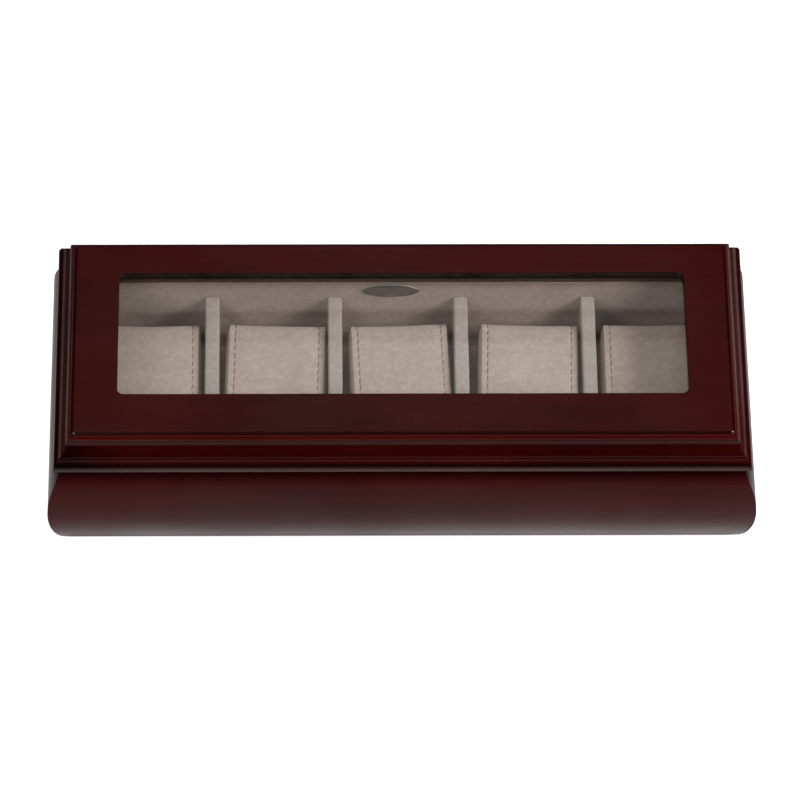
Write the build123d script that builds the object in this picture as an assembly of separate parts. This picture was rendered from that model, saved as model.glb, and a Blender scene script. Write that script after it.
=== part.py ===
from build123d import *
import math
import os

# Five-compartment watch display box: a mitred, bulged wooden base lined in
# suede, four wrapped dividers, five sewn watch pillows, and a hinged lid with
# a stepped moulding, a flat top panel and a glass window.
# Millimetres, +Z up, origin at the centre of the bottom of the box.
# "d" is always measured outward from the rebate that the lid's top panel sits in.

# ------------------------------------------------------------ driving sizes
PANEL_X, PANEL_Y = 316.0, 113.4      # rebate of the lid's top panel, width and depth
PANEL_T = 5.0                        # the panel's thickness
PANEL_LIP_SIDE = 1.8                 # its rounded lip laps over the moulding's ledge, at the sides,
PANEL_LIP_FRONT = 0.8                # at the front
PANEL_LIP_BACK = 1.5                 # and at the back
PANEL_EDGE_R = 2.4                   # quarter round along the lip
PANEL_CORNER_R = 3.0
LEDGE_H = 2.55                       # the ledge, below the top of the panel
TOP_Z = 81.5                         # top of the closed box
LID_BOTTOM_Z = 62.2                  # underside of the lid
BASE_TOP_Z = 61.9                    # rim of the base, 0.3 below the lid
BULGE_D = 13.4                       # widest point of the base
INNER_D = -8.8                       # inner faces of lid rails and lining
LINING_T = 2.0                       # suede on card
WALL_IN_D = INNER_D + LINING_T       # inner face of the wooden base walls
FELT_T = 1.5                         # felt sheet the box stands on
BOTTOM_T = 5.0                       # bottom board
FLOOR_T = 3.0                        # padded floor lining
FLOOR_Z = FELT_T + BOTTOM_T + FLOOR_T

WINDOW_X0, WINDOW_X1 = -137.2, 137.8 # window opening in the top panel
WINDOW_Y0, WINDOW_Y1 = -33.2, 39.6
WINDOW_R = 3.4
GLASS_T = 2.0
BEAD_W, BEAD_H = 4.2, 3.2            # glazing beads under the pane

DIV_X = (-92.2, -32.0, 29.8, 92.4)   # divider centres
DIV_T = 7.0                          # wrapped divider, overall
DIV_WRAP = 0.8                       # suede wrap on the divider board
DIV_TOP = 50.9

PILLOW_W = 46.2                      # sewn sleeve, between its two seams
PILLOW_BULGE = 1.8                   # each end panel crowns outward
PILLOW_Y = 74.4                      # front to back
PILLOW_TOP = 47.0
PILLOW_R = 8.0                       # rounded long edges of the sleeve
PILLOW_SKIN = 1.2                    # suede
PILLOW_X = (-122.3, -61.1, 0.5, 62.9, 123.6)
PILLOW_YAW = (0.0, -1.6, 2.0, -1.4, 0.0)
PILLOW_LIFT_GAP = 0.3                # clear of the floor lining

HINGE_X = 105.0                      # hinge centres, left and right
HINGE_L = 32.0
HINGE_D = 10.2                       # axis, outside the lip of the back rail
HINGE_Z = 62.05                      # axis, in the joint plane
BARREL_R = 2.2
BORE_R = 0.90
PIN_R = 0.85
LEAF_T = 0.95
LEAF_IN_D = -3.5                     # inner edge of the leaves
KNUCKLES = 5
KNUCKLE_GAP = 0.25
SCREW_D = 0.5                        # screw row, from the panel edge plane
SCREW_DX = 10.0
SCREW_LEN = 9.0

PLATE_X, PLATE_Z = -4.75, 56.1      # centre of the oval plate
PLATE_W, PLATE_H, PLATE_T = 28.4, 9.8, 0.8

os.makedirs("parts", exist_ok=True)
HX, HY = PANEL_X / 2, PANEL_Y / 2
SIDES = {
    "front": (Vector(0, -1, 0), HY, HX),
    "back": (Vector(0, 1, 0), HY, HX),
    "left": (Vector(-1, 0, 0), HX, HY),
    "right": (Vector(1, 0, 0), HX, HY),
}


def save(shape, name, label=None):
    shape.label = label or name
    export_step(shape, "parts/%s.step" % name)


def solid_of(shape):
    # one clean solid out of whatever a boolean gives
    s = shape.solids()
    assert len(s) == 1, "expected one solid, got %d" % len(s)
    return s[0]


def side_plane(side, length):
    # local x points outward (d), local y up (z)
    n, half, _ = SIDES[side]
    z_dir = n.cross(Vector(0, 0, 1))
    origin = n * half - z_dir * (length / 2)
    return Plane(origin=origin, x_dir=n, z_dir=z_dir)


def wedge(side, inner, outer):
    # plan shape of one mitred rail, from d = inner to d = outer, 45 deg ends
    if side == "front":
        pts = [(-HX - outer, -HY - outer), (HX + outer, -HY - outer), (HX + inner, -HY - inner), (-HX - inner, -HY - inner)]
    elif side == "back":
        pts = [(-HX - outer, HY + outer), (HX + outer, HY + outer), (HX + inner, HY + inner), (-HX - inner, HY + inner)]
    elif side == "left":
        pts = [(-HX - outer, -HY - outer), (-HX - outer, HY + outer), (-HX - inner, HY + inner), (-HX - inner, -HY - inner)]
    else:
        pts = [(HX + outer, -HY - outer), (HX + outer, HY + outer), (HX + inner, HY + inner), (HX + inner, -HY - inner)]
    face = make_face(Polyline(*[(x, y, -5) for x, y in pts], close=True))
    return extrude(face, amount=100, dir=(0, 0, 1))


def mitred(side, edges, inner, outer):
    # sweep a closed (d, z) outline along one side and cut its mitres
    length = 2 * (SIDES[side][2] + outer + 5)
    face = make_face(edges)
    body = extrude(side_plane(side, length) * face, amount=length)
    return solid_of(body & wedge(side, inner - 1, outer + 1))


def arc(a, m, b):
    return ThreePointArc(a, m, b)


# ------------------------------------------------------------ lid moulding
def lid_outline():
    z = lambda h: TOP_Z - h
    p = [
        (INNER_D, LID_BOTTOM_Z),
        (INNER_D, TOP_Z - PANEL_T),
        (0.0, TOP_Z - PANEL_T),
        (0.0, z(LEDGE_H)),
    ]
    e = [Line(p[i], p[i + 1]) for i in range(3)]
    e.append(Line(p[3], (2.25, z(2.65))))                              # ledge round the panel
    e.append(arc((2.25, z(2.65)), (2.93, z(2.97)), (3.2, z(3.7))))     # bead, rounded top
    e.append(arc((3.2, z(3.7)), (3.55, z(4.6)), (3.68, z(5.6))))       # bead, steep face
    e.append(Line((3.68, z(5.6)), (3.5, z(5.9))))
    e.append(arc((3.5, z(5.9)), (4.35, z(9.4)), (6.5, z(10.95))))       # cove
    e.append(arc((6.5, z(10.95)), (6.72, z(11.03)), (6.8, z(11.25))))
    e.append(Line((6.8, z(11.25)), (6.8, z(12.35))))                   # fillet edge
    e.append(arc((6.8, z(12.35)), (8.25, z(12.85)), (8.8, z(14.1))))   # small round
    e.append(Line((8.8, z(14.1)), (8.8, z(14.75))))
    e.append(Line((8.8, z(14.75)), (9.1, z(14.8))))
    e.append(arc((9.1, z(14.8)), (9.8, z(16.9)), (9.4, z(19.0))))      # lip
    e.append(arc((9.4, z(19.0)), (9.27, z(19.22)), (9.0, LID_BOTTOM_Z)))
    e.append(Line((9.0, LID_BOTTOM_Z), (INNER_D, LID_BOTTOM_Z)))
    return e


rails = {s: mitred(s, lid_outline(), INNER_D, 10.0) for s in SIDES}

# ------------------------------------------------------------ base walls
BULGE = [(5.4, BASE_TOP_Z), (6.85, 58.4), (8.45, 54.1), (9.95, 50.4), (11.27, 46.8), (12.27, 43.4),
         (12.92, 39.7), (13.28, 35.7), (BULGE_D, 31.6), (13.2, 27.0), (12.6, 22.3), (11.45, 16.9),
         (9.7, 11.3), (7.5, 6.5), (5.35, 3.2), (3.7, FELT_T)]


def base_outline():
    e = [Spline(*BULGE)]
    e.append(Line(BULGE[-1], (WALL_IN_D + 4.0, FELT_T)))
    e.append(Line((WALL_IN_D + 4.0, FELT_T), (WALL_IN_D + 4.0, FELT_T + BOTTOM_T)))      # rebate for the bottom board
    e.append(Line((WALL_IN_D + 4.0, FELT_T + BOTTOM_T), (WALL_IN_D, FELT_T + BOTTOM_T)))
    e.append(Line((WALL_IN_D, FELT_T + BOTTOM_T), (WALL_IN_D, BASE_TOP_Z)))
    e.append(Line((WALL_IN_D, BASE_TOP_Z), BULGE[0]))
    return e


walls = {s: mitred(s, base_outline(), WALL_IN_D, BULGE_D + 1) for s in SIDES}

# ------------------------------------------------------------ hinges
AX_Y = HY + HINGE_D


def x_cyl(r, x0, x1, y=AX_Y, z=HINGE_Z):
    c = Cylinder(r, x1 - x0, align=(Align.CENTER, Align.CENTER, Align.MIN))
    return Pos(x0, y, z) * Rot(0, 90, 0) * c


def box(x0, x1, y0, y1, z0, z1):
    return Pos((x0 + x1) / 2, (y0 + y1) / 2, (z0 + z1) / 2) * Box(x1 - x0, y1 - y0, z1 - z0)


K_LEN = (HINGE_L - (KNUCKLES - 1) * KNUCKLE_GAP) / KNUCKLES


def knuckle_spans(cx):
    x = cx - HINGE_L / 2
    return [(x + i * (K_LEN + KNUCKLE_GAP), x + i * (K_LEN + KNUCKLE_GAP) + K_LEN) for i in range(KNUCKLES)]


def screw(x, y, z, up):
    # countersunk wood screw: head face at z, shank into the wood
    head_r, shank_r = 1.9, 1.0
    head = Cone(shank_r, head_r, 1.0, align=(Align.CENTER, Align.CENTER, Align.MAX))
    shank = Pos(0, 0, -1.0) * Cylinder(shank_r, SCREW_LEN - 3.0, align=(Align.CENTER, Align.CENTER, Align.MAX))
    tip = Pos(0, 0, -SCREW_LEN + 2.0) * Cone(0.12, shank_r, 2.0, align=(Align.CENTER, Align.CENTER, Align.MAX))
    s = head + shank + tip
    slot = Box(0.42, 2.2, 1.2) + Box(2.2, 0.42, 1.2)
    s = s - slot
    s = solid_of(s)
    turn = Rot(180, 0, 0) if up else Rot(0, 0, 0)
    return Pos(x, y, z) * turn * s


def screw_hole(x, y, z, up, extra=0.03):
    head = Cone(1.0 + extra, 1.9 + extra, 1.0, align=(Align.CENTER, Align.CENTER, Align.MAX))
    lip = Cylinder(1.9 + extra, 0.5, align=(Align.CENTER, Align.CENTER, Align.MIN))
    shank = Pos(0, 0, -0.99) * Cylinder(1.0 + extra, SCREW_LEN, align=(Align.CENTER, Align.CENTER, Align.MAX))
    turn = Rot(180, 0, 0) if up else Rot(0, 0, 0)
    return Pos(x, y, z) * turn * (head + lip + shank)


BASE_LEAF_Z1 = BASE_TOP_Z + 0.05          # top of the lower leaf
BASE_LEAF_Z0 = BASE_LEAF_Z1 - LEAF_T
LID_LEAF_Z0 = LID_BOTTOM_Z - 0.05
LID_LEAF_Z1 = LID_LEAF_Z0 + LEAF_T

for name, cx in (("left", -HINGE_X), ("right", HINGE_X)):
    spans = knuckle_spans(cx)
    x0, x1 = cx - HINGE_L / 2, cx + HINGE_L / 2
    y_in, y_web = HY + LEAF_IN_D, AX_Y - BARREL_R - 0.4
    base_leaf = box(x0, x1, y_in, y_web, BASE_LEAF_Z0, BASE_LEAF_Z1)
    lid_leaf = box(x0, x1, y_in, y_web, LID_LEAF_Z0, LID_LEAF_Z1)
    for i, (a, b) in enumerate(spans):
        if i % 2 == 0:
            base_leaf += box(a, b, y_web - 0.5, AX_Y, BASE_LEAF_Z0, BASE_LEAF_Z1) + x_cyl(BARREL_R, a, b)
        else:
            lid_leaf += box(a, b, y_web - 0.5, AX_Y, LID_LEAF_Z0, LID_LEAF_Z1) + x_cyl(BARREL_R, a, b)
    bore = x_cyl(BORE_R, x0 - 1, x1 + 1)
    base_leaf -= bore
    lid_leaf -= bore
    base_screws, lid_screws = [], []
    for dx in (-SCREW_DX, 0, SCREW_DX):
        sx, sy = cx + dx, HY + SCREW_D
        base_leaf -= screw_hole(sx, sy, BASE_LEAF_Z1, False)
        lid_leaf -= screw_hole(sx, sy, LID_LEAF_Z0, True)
        walls["back"] = walls["back"] - screw_hole(sx, sy, BASE_LEAF_Z1, False, 0.02)
        rails["back"] = rails["back"] - screw_hole(sx, sy, LID_LEAF_Z0, True, 0.02)
        base_screws.append(screw(sx, sy, BASE_LEAF_Z1, False))
        lid_screws.append(screw(sx, sy, LID_LEAF_Z0, True))
    # mortises in the two back rails, and the notch the barrel turns in
    walls["back"] = walls["back"] - box(x0 - 0.1, x1 + 0.1, y_in - 0.1, HY + 14, BASE_LEAF_Z0, BASE_TOP_Z + 1)
    rails["back"] = rails["back"] - box(x0 - 0.1, x1 + 0.1, y_in - 0.1, HY + 14, LID_BOTTOM_Z - 1, LID_LEAF_Z1)
    rails["back"] = rails["back"] - x_cyl(BARREL_R + 0.35, x0 - 0.35, x1 + 0.35)
    save(solid_of(base_leaf), "%s_hinge_base_leaf" % name)
    save(solid_of(lid_leaf), "%s_hinge_lid_leaf" % name)
    pin = x_cyl(PIN_R, x0 - 0.2, x1 + 0.2)
    pin = chamfer(pin.edges().filter_by(GeomType.CIRCLE), 0.2)
    save(solid_of(pin), "%s_hinge_pin" % name)
    save(Compound(children=[Solid(s.wrapped) if not isinstance(s, Solid) else s for s in base_screws]), "%s_hinge_base_screws" % name)
    save(Compound(children=[Solid(s.wrapped) if not isinstance(s, Solid) else s for s in lid_screws]), "%s_hinge_lid_screws" % name)

for s in SIDES:
    save(solid_of(rails[s]), "lid_moulding_%s" % s)
    save(solid_of(walls[s]), "base_wall_%s" % s)

# ------------------------------------------------------------ lid panel and glazing
tongue = box(-HX, HX, -HY, HY, TOP_Z - PANEL_T, TOP_Z - LEDGE_H)
tongue = fillet(tongue.edges().filter_by(Axis.Z), 1.0)
lip = box(-HX - PANEL_LIP_SIDE, HX + PANEL_LIP_SIDE, -HY - PANEL_LIP_FRONT, HY + PANEL_LIP_BACK, TOP_Z - LEDGE_H, TOP_Z)
lip = fillet(lip.edges().filter_by(Axis.Z), PANEL_CORNER_R)
lip = fillet(lip.faces().sort_by(Axis.Z)[-1].edges(), PANEL_EDGE_R)
panel = tongue + lip
wx, wy = (WINDOW_X0 + WINDOW_X1) / 2, (WINDOW_Y0 + WINDOW_Y1) / 2
hole = extrude(Pos(wx, wy, TOP_Z - PANEL_T - 1) * RectangleRounded(WINDOW_X1 - WINDOW_X0, WINDOW_Y1 - WINDOW_Y0, WINDOW_R), amount=PANEL_T + 2)
panel = panel - hole
rim = [e for e in panel.faces().sort_by(Axis.Z)[-1].inner_wires()[0].edges()]
panel = fillet(rim, 0.5)
save(solid_of(panel), "lid_panel")

gx, gy = HX + INNER_D - 0.4, HY + INNER_D - 0.4
pane = box(-gx, gx, -gy, gy, TOP_Z - PANEL_T - GLASS_T, TOP_Z - PANEL_T)
pane = chamfer(pane.edges().filter_by(Axis.Z), 0.6)
save(solid_of(pane), "glass_pane")

bead_top = TOP_Z - PANEL_T - GLASS_T


def bead_outline():
    a, b = INNER_D, INNER_D - BEAD_W
    e = [Line((a, bead_top), (a, bead_top - BEAD_H)),
         Line((a, bead_top - BEAD_H), (a - 1.2, bead_top - BEAD_H)),
         arc((a - 1.2, bead_top - BEAD_H), (b + 0.88, bead_top - BEAD_H + 0.88), (b, bead_top - 0.6)),
         Line((b, bead_top - 0.6), (b, bead_top)),
         Line((b, bead_top), (a, bead_top))]
    return e


for s in SIDES:
    save(mitred(s, bead_outline(), INNER_D - BEAD_W, INNER_D), "glazing_bead_%s" % s)

# ------------------------------------------------------------ bottom
bx, by = HX + WALL_IN_D + 4.0 - 0.1, HY + WALL_IN_D + 4.0 - 0.1
save(solid_of(box(-bx, bx, -by, by, FELT_T, FELT_T + BOTTOM_T)), "bottom_board")
felt = box(-HX - 0.8, HX + 0.8, -HY - 0.8, HY + 0.8, 0, FELT_T)
felt = fillet(felt.edges().filter_by(Axis.Z), 3.0)
save(solid_of(felt), "base_felt")

# ------------------------------------------------------------ lining
lx, ly = HX + WALL_IN_D, HY + WALL_IN_D          # outer faces of the lining
ix, iy = HX + INNER_D, HY + INNER_D              # inner faces of the lining
lt = BASE_TOP_Z - 0.25                           # its top edge, a touch under the rim
save(solid_of(box(-lx, lx, -ly, ly, FELT_T + BOTTOM_T, FLOOR_Z)), "lining_floor")


def lining_board(x0, x1, y0, y1):
    b = box(x0, x1, y0, y1, FLOOR_Z, lt)
    long_axis = Axis.X if (x1 - x0) > (y1 - y0) else Axis.Y
    top = b.edges().filter_by(long_axis).group_by(Axis.Z)[-1]
    return solid_of(fillet(top, 0.7))


save(lining_board(-lx, lx, -ly, -iy), "lining_front")
save(lining_board(-lx, lx, iy, ly), "lining_back")
save(lining_board(-lx, -ix, -iy, iy), "lining_left")
save(lining_board(ix, lx, -iy, iy), "lining_right")

# ------------------------------------------------------------ dividers
for i, x in enumerate(DIV_X, 1):
    outer = box(x - DIV_T / 2, x + DIV_T / 2, -iy, iy, FLOOR_Z, DIV_TOP)
    outer = fillet(outer.edges().filter_by(Axis.Y).group_by(Axis.Z)[-1], 1.3)
    w = DIV_T / 2 - DIV_WRAP
    core = box(x - w, x + w, -iy + DIV_WRAP, iy - DIV_WRAP, FLOOR_Z, DIV_TOP - DIV_WRAP)
    core = fillet(core.edges().filter_by(Axis.Y).group_by(Axis.Z)[-1], 0.6)
    save(solid_of(outer - core), "divider_%d_cover" % i)
    save(solid_of(core), "divider_%d_board" % i)

# ------------------------------------------------------------ oval plate
plate_face = Plane(origin=(PLATE_X, iy, PLATE_Z), x_dir=(1, 0, 0), z_dir=(0, -1, 0)) * Ellipse(PLATE_W / 2, PLATE_H / 2)
plate = extrude(plate_face, amount=PLATE_T)
plate = fillet(plate.edges().sort_by(Axis.Y)[0], 0.3)
save(solid_of(plate), "oval_plate")

# ------------------------------------------------------------ pillows
p0 = FLOOR_Z + PILLOW_LIFT_GAP
ph = PILLOW_TOP - p0
pz = (PILLOW_TOP + p0) / 2


def pillow_prism(width, inset):
    # rounded rectangle in the Y-Z plane, pushed along X
    face = Plane.YZ * RectangleRounded(PILLOW_Y - 2 * inset, ph - 2 * inset, PILLOW_R - inset)
    return Pos(-width / 2, 0, 0) * extrude(face, amount=width)


def end_panel():
    # suede end, outline a little inside the sleeve, crowned outward
    t0 = 1.0
    inset = 0.35
    base = Plane.YZ * RectangleRounded(PILLOW_Y - 2 * inset, ph - 2 * inset, PILLOW_R - inset)
    mid = Pos(t0 * 0.9, 0, 0) * (Plane.YZ * RectangleRounded(PILLOW_Y - 5.0, ph - 5.0, PILLOW_R - 2.0))
    top = Pos(PILLOW_BULGE, 0, 0) * (Plane.YZ * RectangleRounded(PILLOW_Y - 44.0, ph - 22.0, 5.0))
    body = loft([base.face() if hasattr(base, "face") else base, mid.face(), top.face()], ruled=True)
    return body


for i, (x, yaw) in enumerate(zip(PILLOW_X, PILLOW_YAW), 1):
    place = Pos(x, 0, pz) * Rot(0, 0, yaw)
    sleeve = pillow_prism(PILLOW_W, 0) - pillow_prism(PILLOW_W + 2, PILLOW_SKIN)
    core = pillow_prism(PILLOW_W - 0.4, PILLOW_SKIN + 0.15)
    e1 = Pos(PILLOW_W / 2, 0, 0) * end_panel()
    e2 = Rot(0, 0, 180) * e1
    save(solid_of(place * sleeve), "pillow_%d_sleeve" % i)
    save(solid_of(place * core), "pillow_%d_foam" % i)
    ends = Compound(children=[solid_of(place * e1), solid_of(place * e2)])
    save(ends, "pillow_%d_end_panels" % i)
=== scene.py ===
import math

import bpy
import numpy as np
from mathutils import Matrix, Vector, noise


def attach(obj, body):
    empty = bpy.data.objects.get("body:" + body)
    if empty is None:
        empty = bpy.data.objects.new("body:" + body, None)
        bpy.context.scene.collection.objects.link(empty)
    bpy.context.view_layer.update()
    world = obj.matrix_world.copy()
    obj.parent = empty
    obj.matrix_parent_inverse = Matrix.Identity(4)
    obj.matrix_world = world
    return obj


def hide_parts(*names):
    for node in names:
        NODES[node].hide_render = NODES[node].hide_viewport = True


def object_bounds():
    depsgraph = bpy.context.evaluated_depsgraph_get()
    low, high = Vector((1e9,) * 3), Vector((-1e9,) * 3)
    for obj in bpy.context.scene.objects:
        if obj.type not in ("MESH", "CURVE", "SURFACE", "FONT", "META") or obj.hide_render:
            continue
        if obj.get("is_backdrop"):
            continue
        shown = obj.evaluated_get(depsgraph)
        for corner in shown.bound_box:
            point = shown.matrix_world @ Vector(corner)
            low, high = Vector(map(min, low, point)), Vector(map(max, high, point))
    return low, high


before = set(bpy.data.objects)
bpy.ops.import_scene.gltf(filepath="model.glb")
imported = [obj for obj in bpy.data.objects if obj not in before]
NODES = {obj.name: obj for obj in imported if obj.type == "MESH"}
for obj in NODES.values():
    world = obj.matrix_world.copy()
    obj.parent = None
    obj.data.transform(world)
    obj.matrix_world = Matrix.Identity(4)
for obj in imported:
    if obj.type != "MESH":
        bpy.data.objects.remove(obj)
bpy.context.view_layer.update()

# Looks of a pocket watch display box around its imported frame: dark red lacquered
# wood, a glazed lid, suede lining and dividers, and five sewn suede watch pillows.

MM = 0.001


# ------------------------------------------------------------------ node helpers
class Shader:
    """A material with one Principled shader, and short calls for its nodes."""

    def __init__(self, name, **plain):
        self.mat = bpy.data.materials.new(name)
        self.mat.use_nodes = True
        self.nt = self.mat.node_tree
        self.nt.nodes.clear()
        self.out = self.nt.nodes.new("ShaderNodeOutputMaterial")
        self.bsdf = self.nt.nodes.new("ShaderNodeBsdfPrincipled")
        self.link(self.bsdf.outputs[0], self.out.inputs["Surface"])
        for k, v in plain.items():
            self.bsdf.inputs[k.replace("_", " ")].default_value = v
        self.coords = None

    def link(self, a, b):
        self.nt.links.new(a, b)

    def node(self, kind, **props):
        n = self.nt.nodes.new(kind)
        for k, v in props.items():
            setattr(n, k, v)
        return n

    def obj(self, scale=(1, 1, 1), offset=(0, 0, 0)):
        if self.coords is None:
            self.coords = self.node("ShaderNodeTexCoord").outputs["Object"]
        m = self.node("ShaderNodeMapping")
        m.inputs["Scale"].default_value = scale
        m.inputs["Location"].default_value = offset
        self.link(self.coords, m.inputs["Vector"])
        return m.outputs[0]

    def noise(self, vec, scale=1.0, detail=3.0, rough=0.5, distort=0.0):
        n = self.node("ShaderNodeTexNoise")
        n.inputs["Scale"].default_value = scale
        n.inputs["Detail"].default_value = detail
        n.inputs["Roughness"].default_value = rough
        n.inputs["Distortion"].default_value = distort
        self.link(vec, n.inputs["Vector"])
        return n.outputs["Fac"]

    def remap(self, fac, a, b, c, d):
        n = self.node("ShaderNodeMapRange")
        for k, v in zip(("From Min", "From Max", "To Min", "To Max"), (a, b, c, d)):
            n.inputs[k].default_value = v
        self.link(fac, n.inputs["Value"])
        return n.outputs["Result"]

    def maths(self, op, a, b):
        n = self.node("ShaderNodeMath", operation=op)
        for i, v in enumerate((a, b)):
            if isinstance(v, (int, float)):
                n.inputs[i].default_value = v
            else:
                self.link(v, n.inputs[i])
        return n.outputs[0]

    def ramp(self, fac, *stops):
        n = self.node("ShaderNodeValToRGB")
        e = n.color_ramp.elements
        while len(e) < len(stops):
            e.new(0.5)
        for el, (pos, col) in zip(e, stops):
            el.position = pos
            el.color = (*col, 1)
        self.link(fac, n.inputs["Fac"])
        return n.outputs["Color"]

    def mix(self, fac, a, b, mode="MIX"):
        n = self.node("ShaderNodeMix", data_type="RGBA", blend_type=mode)
        for i, v in ((0, fac), (6, a), (7, b)):
            if isinstance(v, (int, float)):
                n.inputs[i].default_value = v
            elif isinstance(v, tuple):
                n.inputs[i].default_value = (*v, 1)
            else:
                self.link(v, n.inputs[i])
        return n.outputs[2]

    def bump(self, height, strength, distance, under=None):
        n = self.node("ShaderNodeBump")
        n.inputs["Strength"].default_value = strength
        n.inputs["Distance"].default_value = distance
        self.link(height, n.inputs["Height"])
        if under is not None:
            self.link(under, n.inputs["Normal"])
        return n.outputs[0]

    def to(self, socket, value):
        self.link(value, self.bsdf.inputs[socket])


# ------------------------------------------------------------------ materials
INNER = -8.8                  # the lid rails' inner faces, mm from the panel's edge


def lacquer(name, along, seed, depth, span, stops, inner=None, well=None, dimmed_at=None):
    """Dark red mahogany stain under satin lacquer, its grain along one axis.

    span and stops follow the height in mm: how strong the stain's red is, how full the gloss is, and how much pale is
    added. The pale is partly rubbed edges and partly painted highlight and reflection lines. The red is cut under the
    lid's lip for painted shade, and in hollows for pooled stain and painted shade; the gloss dies in both. The red is
    raised on the panel's ledge for a painted reflection. Past the depth inner (mm from the panel's edge, inward) the
    wood is bare and grey brown. Below the height well, the window's walls are near black. The last argument names
    where it is dimmed: "left" for darker at the front rail's left end, under the bead, "front" for less rubbing and
    fainter painted highlight towards the front.
    """
    s = Shader(name, Roughness=0.5, Coat_Weight=1.0, Coat_Roughness=0.2, Coat_IOR=1.4)
    s.bsdf.inputs["Specular IOR Level"].default_value = 0.0

    def stretched(a, b):
        return tuple(a if i == along else b for i in range(3))

    def tone(*c):
        return tuple(v * depth for v in c)

    off = (seed, seed * 1.7, seed * 0.6)
    cloud = s.noise(s.obj(stretched(9, 26), off), 1.0, 2.0, 0.5)
    figure = s.noise(s.obj(stretched(14, 190), off), 1.0, 4.0, 0.6, 0.3)
    pores = s.noise(s.obj(stretched(110, 2300), off), 1.0, 3.0, 0.65)
    deep = s.ramp(cloud, (0.36, tone(0.041, 0.0020, 0.0016)), (0.64, tone(0.062, 0.0026, 0.0021)))
    warm = s.mix(s.remap(figure, 0.35, 0.65, 0.0, 0.42), deep, tone(0.068, 0.0042, 0.0030))
    dark = s.mix(s.remap(pores, 0.50, 0.72, 0.0, 0.38), warm, tone(0.020, 0.0012, 0.0011))

    place = s.node("ShaderNodeSeparateXYZ")
    s.link(s.obj((1000, 1000, 1000)), place.inputs[0])
    lo, hi = span
    wear = s.ramp(s.remap(place.outputs["Z"], lo, hi, 0.0, 1.0),
                  *[((z - lo) / (hi - lo), (red, gloss, rub_and_highlight)) for z, red, gloss, rub_and_highlight in stops])
    parts = s.node("ShaderNodeSeparateColor")
    s.link(wear, parts.inputs[0])
    # the third column adds pale: rubbed edges and painted highlight and reflection lines
    red, rub_and_highlight = parts.outputs[0], parts.outputs[2]
    # darker towards the front rail's left end, under the bead
    if dimmed_at == "left":
        there = s.maths("MULTIPLY", s.remap(place.outputs["Z"], 76.6, 75.9, 0.0, 1.0),
                        s.remap(place.outputs["Y"], -1.0, 1.0, 1.0, 0.0))
        loss = s.maths("MULTIPLY", there, s.remap(place.outputs["X"], -161.0, -132.0, 0.76, 0.0))
        red = s.maths("MULTIPLY", red, s.maths("SUBTRACT", 1.0, loss))
    # less pale towards the front: less rubbing and fainter painted highlight
    if dimmed_at == "front":
        rub_and_highlight = s.maths("MULTIPLY", rub_and_highlight, s.remap(place.outputs["Y"], -14.0, -50.0, 1.0, 0.45))
    # the red scales the stain: cut under the lid's lip for painted shade, in hollows for pooled stain and painted
    # shade, raised on the panel's ledge for a painted reflection
    stained = s.node("ShaderNodeVectorMath", operation="SCALE")
    s.link(dark, stained.inputs[0])
    s.link(red, stained.inputs["Scale"])
    rubbed_and_highlit = s.node("ShaderNodeVectorMath", operation="SCALE")
    rubbed_and_highlit.inputs[0].default_value = (0.042, 0.039, 0.034)
    s.link(rub_and_highlight, rubbed_and_highlit.inputs["Scale"])
    both = s.node("ShaderNodeVectorMath", operation="ADD")
    s.link(stained.outputs[0], both.inputs[0])
    s.link(rubbed_and_highlit.outputs[0], both.inputs[1])
    colour = both.outputs[0]
    gloss = parts.outputs[1]
    if well is not None:
        low = s.remap(place.outputs["Z"], well, well - 0.2, 0.0, 1.0)
        dx = s.maths("SUBTRACT", s.maths("ABSOLUTE", place.outputs["X"], 0), 158.0)
        dy = s.maths("SUBTRACT", s.maths("ABSOLUTE", place.outputs["Y"], 0), 56.7)
        deep_in = s.maths("MULTIPLY", low, s.remap(s.maths("MAXIMUM", dx, dy), -6.0, -7.0, 0.0, 1.0))
        richer = s.node("ShaderNodeVectorMath", operation="SCALE")
        s.link(colour, richer.inputs[0])
        gain = s.maths("MULTIPLY", s.remap(place.outputs["Y"], 31.0, 48.0, 0.0, 1.0),
                       s.remap(place.outputs["X"], -88.0, -56.0, 0.06, 0.36))
        s.link(s.maths("ADD", 1.0, gain), richer.inputs["Scale"])
        wall = s.node("ShaderNodeVectorMath", operation="SCALE")
        s.link(s.ramp(figure, (0.3, (0.018, 0.0080, 0.0058)), (0.7, (0.026, 0.0115, 0.0082))), wall.inputs[0])
        s.link(s.remap(place.outputs["Y"], 35.0, 37.0, 1.0, 0.5), wall.inputs["Scale"])
        colour = s.mix(deep_in, richer.outputs[0], wall.outputs[0])
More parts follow.
